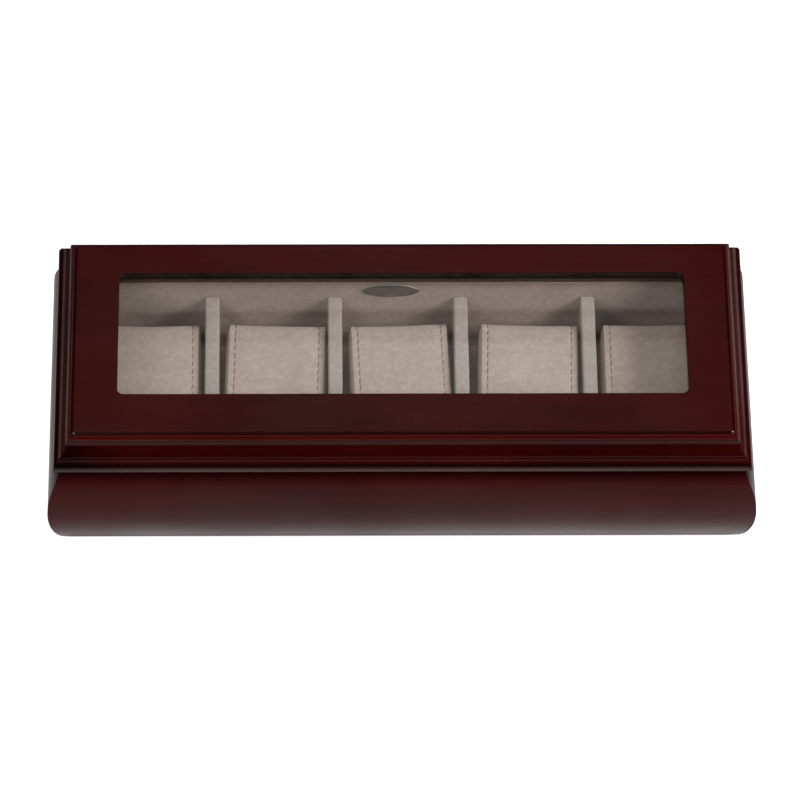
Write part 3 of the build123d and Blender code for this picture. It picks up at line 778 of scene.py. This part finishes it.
def pillow(number, cx, yaw):
    p, faces, ends, wob = sim_mesh(3.0 * number)
    rest = p.copy()
    moved = swell(p, faces, wob, number)
    step = moved - rest
    far = np.linalg.norm(step, axis=1, keepdims=True)
    cap = np.full((len(p), 1), 1.0)
    cap[:NX * LOOP] = 0.75                    # the sleeve is drawn tight over the foam
    step *= np.minimum(1.0, cap / np.maximum(far, 1e-9))
    p = rest + step

    # the sleeve, as a grid of X lines by loop points
    grid = p[:NX * LOOP].reshape(NX, LOOP, 3)
    gn = np.zeros_like(grid)
    du = np.gradient(grid, axis=0)
    dv = np.roll(grid, -1, 1) - np.roll(grid, 1, 1)
    gn = np.cross(dv, du)
    gn /= np.maximum(np.linalg.norm(gn, axis=2, keepdims=True), 1e-12)
    if (gn * (grid * np.array([0, 1, 1]))).sum() < 0:
        gn = -gn
    arc = np.r_[0, np.cumsum(np.linalg.norm(np.diff(np.vstack([grid[NX // 2], grid[NX // 2][:1]]), axis=0), axis=1))]
    round_it = arc[-1]
    count = int(round(round_it / 4.7))
    pitch = round_it / count
    xs = np.array(X_LINES)[:, None]
    along = arc[:-1][None, :]
    groove = np.exp(-((np.abs(xs) - STITCH_X) / 0.42) ** 2)
    tug = 0.5 + 0.5 * np.cos(2 * math.pi * along / pitch)
    pucker = np.exp(-((np.abs(xs) - STITCH_X) / 2.2) ** 2) * (0.5 - tug)
    flat = grid.reshape(-1, 3)
    wr = ripple(flat + [number * 40.0, 0, 0], 17.0, number * 1.1).reshape(NX, LOOP)
    wr2 = ripple(flat + [number * 40.0, 0, 0], 5.0, number * 2.3).reshape(NX, LOOP)
    inside = np.clip((HALF_W - np.abs(xs)) / 5.0, 0.15, 1)
    off = -groove * (0.20 + 0.10 * tug) + 0.07 * pucker + inside * (0.16 * wr + 0.06 * wr2)
    grid = grid + gn * off[:, :, None]
    # it rests flat on the floor lining
    grid[:, :, 2] = np.maximum(grid[:, :, 2], P_LO - P_MID + 0.02)

    # rolled hem at each mouth, then the inside of the sleeve
    inner = grid - gn * SKIN
    rows = []
    for i in range(NX):
        rows.append(grid[i])
    hem = []
    for a in (40, 90, 140):
        t = math.radians(a)
        hem.append((0.5 * SKIN * math.sin(t), 0.5 * SKIN * (1 - math.cos(t))))
    for out, deep in hem:
        rows.append(grid[-1] + np.array([out, 0, 0]) - gn[-1] * deep)
    for i in range(NX - 1, -1, -1):
        rows.append(inner[i])
    for out, deep in reversed(hem):
        rows.append(grid[0] - np.array([out, 0, 0]) - gn[0] * deep)
    rows = np.array(rows)
    nr = len(rows)
    sq = []
    for i in range(nr):
        k = (i + 1) % nr
        for j in range(LOOP):
            l = (j + 1) % LOOP
            sq.append([i * LOOP + j, i * LOOP + l, k * LOOP + l, k * LOOP + j])
    spin = Matrix.Rotation(math.radians(yaw), 3, "Z")
    turn = np.array(spin)
    place = np.array([cx, 0, P_MID])

    def put(q):
        return np.asarray(q).reshape(-1, 3) @ turn.T + place

    pts = rows.reshape(-1, 3)
    nn = normals_of(pts, sq)
    if (nn[:NX * LOOP] * gn.reshape(-1, 3)).sum() < 0:
        sq = [f[::-1] for f in sq]
    body = "pillow_%d" % number
    sleeve = make("pillow_%d_sleeve_sewn" % number, put(pts), sq, SLEEVE, body, ("pillow_%d_sleeve" % number,))
    sub = sleeve.modifiers.new("Smooth", "SUBSURF")
    sub.levels = sub.render_levels = 1

    # end panels tucked inside the two mouths, crowned by the foam behind them
    ep, ef = [], []
    for side, row, ids in ((-1, 0, ends[0]), (1, NX - 1, ends[1])):
        g = p[ids.reshape(-1)].reshape(NY + 1, NZ + 1, 3)
        ring = grid[row] - gn[row] * (SKIN * 0.92)
        ring[:, 0] = side * (HALF_W - 0.75)
        new = fill_end(ring)
        for i in range(NY + 1):
            for j in range(NZ + 1):
                a = min(i, NY - i) / NY * 2 * HALF_Y
                b = min(j, NZ - j) / NZ * 2 * HALF_Z
                crown = max(0.0, side * g[i, j, 0] - HALF_W)
                near = min(a, b)
                ramp_up = min(1.0, near / 3.2)
                ramp_up = ramp_up * ramp_up * (3 - 2 * ramp_up)
                puff = 1 - (1 - min(1.0, near / 9.0)) ** 2.4
                new[i, j, 0] += side * (0.75 * ramp_up + 1.30 * puff + 0.30 * crown)
        nz_ = ripple(new.reshape(-1, 3) + [number * 30.0, 0, 0], 9.0, number + side * 4.0).reshape(NY + 1, NZ + 1)
        for i in range(1, NY):
            for j in range(1, NZ):
                new[i, j, 0] += side * 0.10 * nz_[i, j]
        over = np.maximum(side * new[:, :, 0] - HALF_W, 0)
        most = 1.5 if side > 0 else 2.1          # pushed over to the side where there is room
        over = over * most / 1.5
        soft = over / (1 + (over / (most * 1.15)) ** 4) ** 0.25
        new[:, :, 0] = side * (np.minimum(side * new[:, :, 0], HALF_W) + np.minimum(soft, most))
        back = new.copy()
        back[:, :, 0] -= side * 1.0
        base = len(ep)
        ep += list(new.reshape(-1, 3)) + list(back.reshape(-1, 3))
        w, k = NZ + 1, (NY + 1) * (NZ + 1)
        for i in range(NY):
            for j in range(NZ):
                q = [i * w + j, (i + 1) * w + j, (i + 1) * w + j + 1, i * w + j + 1]
                q = q if side < 0 else q[::-1]
                ef.append([base + v for v in q])
                ef.append([base + k + v for v in q[::-1]])
        border = ([(i, 0) for i in range(NY)] + [(NY, j) for j in range(NZ)]
                  + [(i, NZ) for i in range(NY, 0, -1)] + [(0, j) for j in range(NZ, 0, -1)])
        for s_, (i, j) in enumerate(border):
            i2, j2 = border[(s_ + 1) % len(border)]
            q = [i * w + j, i2 * w + j2, k + i2 * w + j2, k + i * w + j]
            q = q[::-1] if side < 0 else q
            ef.append([base + v for v in q])
    ends_obj = make("pillow_%d_ends_sewn" % number, put(ep), ef, ENDS, body, ("pillow_%d_end_panels" % number,))
    sub = ends_obj.modifiers.new("Smooth", "SUBSURF")
    sub.levels = sub.render_levels = 1

    # foam core
    cp, cf, cn = rounded_box((-HALF_W + 2.0, -HALF_Y + 1.9, -HALF_Z + 1.9), (HALF_W - 2.0, HALF_Y - 1.9, HALF_Z - 1.9), 5.0, (2.4, 2.4, 2.4), 4)
    cp = cp + cn * (0.25 * ripple(cp, 7.0, number + 0.4))[:, None]
    core = make("pillow_%d_core" % number, put(cp), cf, FOAM, body, ("pillow_%d_foam" % number,))

    # stitches: one short raised thread per pitch, along both sides of the sleeve
    tp, tf = [], []
    for side in (-1, 1):
        col = X_LINES.index(side * STITCH_X)
        line = np.vstack([grid[col], grid[col][:1]])
        norm = np.vstack([gn[col], gn[col][:1]])
        for k in range(count):
            wobble = 0.16 * noise.noise(Vector((k * 1.37, side * 3.0, number * 5.0)))
            mid = (k + 0.5) * pitch
            length = 4.05 + 0.45 * noise.noise(Vector((k * 0.91, side * 7.0, number * 2.0)))
            secs = []
            for a in (-0.5, -0.42, -0.25, 0.0, 0.25, 0.42, 0.5):
                s_ = (mid + a * length) % round_it
                c = np.array([np.interp(s_, arc, line[:, d]) for d in range(3)])
                nv = np.array([np.interp(s_, arc, norm[:, d]) for d in range(3)])
                nv /= np.linalg.norm(nv)
                bulge = 1 - (2 * abs(a)) ** 4
                rad_x = 0.10 + 0.14 * bulge
                rad_n = 0.08 + 0.11 * bulge
                c = c + nv * (-0.09 + 0.17 * bulge) + np.array([a * 0.55 + wobble, 0, 0])
                secs.append((c, nv, rad_x, rad_n))
            base = len(tp)
            for c, nv, rx, rn in secs:
                for m_ in range(8):
                    t = 2 * math.pi * m_ / 8
                    tp.append(c + np.array([rx * math.cos(t), 0, 0]) + nv * (rn * math.sin(t)))
            for a in range(len(secs) - 1):
                for m_ in range(8):
                    n_ = (m_ + 1) % 8
                    tf.append([base + a * 8 + m_, base + a * 8 + n_, base + (a + 1) * 8 + n_, base + (a + 1) * 8 + m_])
            tf.append([base + v for v in range(7, -1, -1)])
            tf.append([base + (len(secs) - 1) * 8 + v for v in range(8)])
    nn = normals_of(np.array(tp), [q for q in tf if len(q) == 4])
    first = np.array(tp[:8]) - np.mean(tp[:8], axis=0)
    if (nn[:8] * first).sum() < 0:
        tf = [q[::-1] for q in tf]
    make("pillow_%d_stitches" % number, put(tp), tf, THREAD, body)


for number, (cx, yaw) in enumerate(zip(PILLOW_X, PILLOW_YAW), 1):
    pillow(number, cx, yaw)


# ------------------------------------------------------------------ stage
def camera():
    e, psi, rho = 0.9388931170, 0.0299268691, 0.0220938265
    f, dist = 5803.862, 2785.876
    fwd = Vector((math.sin(psi) * math.cos(e), math.cos(psi) * math.cos(e), -math.sin(e)))
    right = Vector((math.cos(psi), -math.sin(psi), 0))
    up = right.cross(fwd)
    r2 = math.cos(rho) * right + math.sin(rho) * up
    u2 = -math.sin(rho) * right + math.cos(rho) * up
    pos = (Vector((-1.29961, -37.31825, 81.5)) - dist * fwd) * MM
    cam = bpy.data.cameras.new("camera")
    cam.sensor_width = 36.0
    cam.lens = f / 800 * 36
    cam.clip_start, cam.clip_end = 0.05, 60
    o = bpy.data.objects.new("camera", cam)
    bpy.context.scene.collection.objects.link(o)
    m = Matrix((
        (r2.x, u2.x, -fwd.x, pos.x),
        (r2.y, u2.y, -fwd.y, pos.y),
        (r2.z, u2.z, -fwd.z, pos.z),
        (0, 0, 0, 1)))
    o.matrix_world = m
    bpy.context.scene.camera = o


camera()


def area(name, loc, aim, size, power, colour=(1, 1, 1)):
    l = bpy.data.lights.new(name, "AREA")
    l.shape = "RECTANGLE"
    l.size, l.size_y = size
    l.energy = power
    l.color = colour
    o = bpy.data.objects.new(name, l)
    o.location = loc
    o.rotation_euler = (Vector(aim) - Vector(loc)).to_track_quat("-Z", "Y").to_euler()
    bpy.context.scene.collection.objects.link(o)
    return o


area("key_right", (1.04, -0.47, 1.03), (0, 0, 0.05), (0.6, 0.6), 20.0)
area("key_left", (-0.73, -0.69, 1.16), (0, 0, 0.05), (0.6, 0.6), 8.4)
area("overhead", (0.0, 0.1, 2.05), (0, 0, 0.05), (1.2, 0.9), 7.8)

# floor: white paper to the eye; in gloss alone it glows, a painted pool of light round the box with a painted contact
# shadow at its foot, darker far away, so that gloss meets a dark room
me = bpy.data.meshes.new("floor")
n_ = 96
ring_r = [0.0, 0.12, 0.2, 0.3, 0.45, 0.7, 1.1, 1.8, 3.0, 6.0, 14.0]
vs, fs = [(0, 0, 0)], []
for r in ring_r[1:]:
    vs += [(r * math.cos(2 * math.pi * k / n_), r * math.sin(2 * math.pi * k / n_), 0) for k in range(n_)]
for k in range(n_):
    fs.append([0, 1 + k, 1 + (k + 1) % n_])
for i in range(len(ring_r) - 2):
    a, b = 1 + i * n_, 1 + (i + 1) * n_
    for k in range(n_):
        l = (k + 1) % n_
        fs.append([a + k, b + k, b + l, a + l])
me.from_pydata(vs, [], fs)
floor = bpy.data.objects.new("floor", me)
bpy.context.scene.collection.objects.link(floor)
floor.location.z = -0.0002
floor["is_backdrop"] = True
s = Shader("floor_paper", Roughness=0.9)
s.nt.nodes.remove(s.bsdf)
pos = s.node("ShaderNodeTexCoord").outputs["Object"]
flat = s.node("ShaderNodeVectorMath", operation="MULTIPLY")
flat.inputs[1].default_value = (1, 1, 0)
s.link(pos, flat.inputs[0])
fold = s.node("ShaderNodeVectorMath", operation="ABSOLUTE")
s.link(flat.outputs[0], fold.inputs[0])
past = s.node("ShaderNodeVectorMath", operation="SUBTRACT")
past.inputs[1].default_value = (0.159, 0.058, 0)
s.link(fold.outputs[0], past.inputs[0])
out_of = s.node("ShaderNodeVectorMath", operation="MAXIMUM")
out_of.inputs[1].default_value = (0, 0, 0)
s.link(past.outputs[0], out_of.inputs[0])
length = s.node("ShaderNodeVectorMath", operation="LENGTH")
s.link(out_of.outputs[0], length.inputs[0])
away = s.node("ShaderNodeMath", operation="POWER")
away.inputs[1].default_value = 0.5
s.link(length.outputs["Value"], away.inputs[0])      # square root of the distance, in metres
# glow seen only in gloss, by distance from the box's foot: painted contact shadow close in, painted pool of light round
# it
steps = [(0.0, .10), (0.003, .20), (0.006, .50), (0.0075, .74), (0.009, .84), (0.012, .84), (0.017, .69), (0.022, .57),
         (0.028, .50), (0.037, .47), (0.047, .415), (0.062, .395), (0.092, .385), (0.16, .38), (0.30, .37), (0.42, .34),
         (0.9, .12)]
near = s.ramp(away.outputs[0], *[(math.sqrt(d), (v / 2, v / 2, v / 2)) for d, v in steps])
path = s.node("ShaderNodeLightPath")
paper = s.node("ShaderNodeBsdfDiffuse")
paper.inputs["Color"].default_value = (0.9, 0.9, 0.9, 1)
mirrored = s.node("ShaderNodeEmission")
s.link(near, mirrored.inputs["Color"])
mirrored.inputs["Strength"].default_value = 2.0
glow = s.node("ShaderNodeEmission")
glow.inputs["Strength"].default_value = 0.8
add = s.node("ShaderNodeAddShader")
s.link(paper.outputs[0], add.inputs[0])
s.link(glow.outputs[0], add.inputs[1])
by_gloss = s.node("ShaderNodeMixShader")
s.link(path.outputs["Is Glossy Ray"], by_gloss.inputs[0])
s.link(paper.outputs[0], by_gloss.inputs[1])
s.link(mirrored.outputs[0], by_gloss.inputs[2])
by_eye = s.node("ShaderNodeMixShader")
s.link(path.outputs["Is Camera Ray"], by_eye.inputs[0])
s.link(by_gloss.outputs[0], by_eye.inputs[1])
s.link(add.outputs[0], by_eye.inputs[2])
s.link(by_eye.outputs[0], s.out.inputs["Surface"])
me.materials.append(s.mat)

# a soft panel of light high up behind the box, for gloss and glass only: two pale fields with a dim seam between
seen_u = Vector((0.99956485, -0.02949753, 0))
seen_v = Vector((-0.02359904, -0.79968616, 0.59995428))
toward = seen_u.cross(seen_v)
me = bpy.data.meshes.new("reflector")
me.from_pydata([(-0.26, -0.075, 0), (0.26, -0.075, 0), (0.26, 0.085, 0), (-0.26, 0.085, 0)], [], [[0, 1, 2, 3]])
reflector = bpy.data.objects.new("reflector", me)
bpy.context.scene.collection.objects.link(reflector)
reflector.matrix_world = Matrix((
    (seen_u.x, seen_v.x, toward.x, 0.025843),
    (seen_u.y, seen_v.y, toward.y, 0.906159),
    (seen_u.z, seen_v.z, toward.z, 1.276551),
    (0, 0, 0, 1)))
reflector.visible_camera = False
reflector.visible_diffuse = False
reflector.visible_shadow = False
reflector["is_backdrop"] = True
s = Shader("reflector_light")
s.nt.nodes.remove(s.bsdf)
along = s.node("ShaderNodeSeparateXYZ")
s.link(s.obj((1000, 1000, 1000)), along.inputs[0])
tilt = s.maths("ADD", along.outputs["Y"], s.maths("MULTIPLY", along.outputs["X"], 0.0264))
field = s.ramp(s.remap(tilt, -60.0, 60.0, 0.0, 1.0),
               *[((v + 60) / 120, (c, 0.92 * c, 0.85 * c)) for v, c in (
                   (-60, .60), (-20.5, .62), (-18.5, .52), (-16.2, .10), (-14.0, .03), (-11, .22), (-6.5, .32), (-1.5, .30),
                   (1.5, .05), (4.0, .05), (6.5, .40), (9, .50), (60, .48))])
fade = s.ramp(s.remap(along.outputs["X"], -260.0, 260.0, 0.0, 1.0), (0.0, (.05, .05, .05)), (0.085, (.40, .40, .40)),
              (0.12, (.78, .78, .78)), (0.42, (1, 1, 1)), (0.62, (1, 1, 1)), (0.88, (.75, .75, .75)),
              (0.915, (.40, .40, .40)), (1.0, (.05, .05, .05)))
lit = s.node("ShaderNodeEmission")
s.link(s.mix(1.0, field, fade, "MULTIPLY"), lit.inputs["Color"])
s.link(lit.outputs[0], s.out.inputs["Surface"])
me.materials.append(s.mat)

# surroundings: white behind everything that the camera sees, a dim room for gloss
world = bpy.data.worlds.new("studio")
bpy.context.scene.world = world
world.use_nodes = True
wt = world.node_tree
wt.nodes.clear()
w_out = wt.nodes.new("ShaderNodeOutputWorld")
w_pos = wt.nodes.new("ShaderNodeTexCoord")
w_dot = wt.nodes.new("ShaderNodeVectorMath")
w_dot.operation = "DOT_PRODUCT"
w_dot.inputs[1].default_value = (0.0, 0.62, 0.78)
wt.links.new(w_pos.outputs["Generated"], w_dot.inputs[0])
w_ramp = wt.nodes.new("ShaderNodeValToRGB")
els = w_ramp.color_ramp.elements
while len(els) < 3:
    els.new(0.5)
for el, (at, v) in zip(els, ((0.0, 0.03), (0.60, 0.07), (1.0, 0.14))):
    el.position = at
    el.color = (v, v, v * 1.02, 1)
w_map = wt.nodes.new("ShaderNodeMapRange")
w_map.inputs["From Min"].default_value = -0.4
w_map.inputs["From Max"].default_value = 1.0
wt.links.new(w_dot.outputs["Value"], w_map.inputs["Value"])
wt.links.new(w_map.outputs["Result"], w_ramp.inputs["Fac"])
w_room = wt.nodes.new("ShaderNodeBackground")
wt.links.new(w_ramp.outputs["Color"], w_room.inputs["Color"])
w_white = wt.nodes.new("ShaderNodeBackground")
w_white.inputs["Color"].default_value = (1, 1, 1, 1)
w_path = wt.nodes.new("ShaderNodeLightPath")
w_mix = wt.nodes.new("ShaderNodeMixShader")
wt.links.new(w_path.outputs["Is Camera Ray"], w_mix.inputs[0])
wt.links.new(w_room.outputs[0], w_mix.inputs[1])
wt.links.new(w_white.outputs[0], w_mix.inputs[2])
wt.links.new(w_mix.outputs[0], w_out.inputs["Surface"])

bpy.context.scene.view_settings.view_transform = "Standard"
bpy.context.scene.view_settings.look = "None"
bpy.context.scene.view_settings.exposure = 0.0
bpy.context.scene.view_settings.gamma = 1.0

lo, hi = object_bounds()
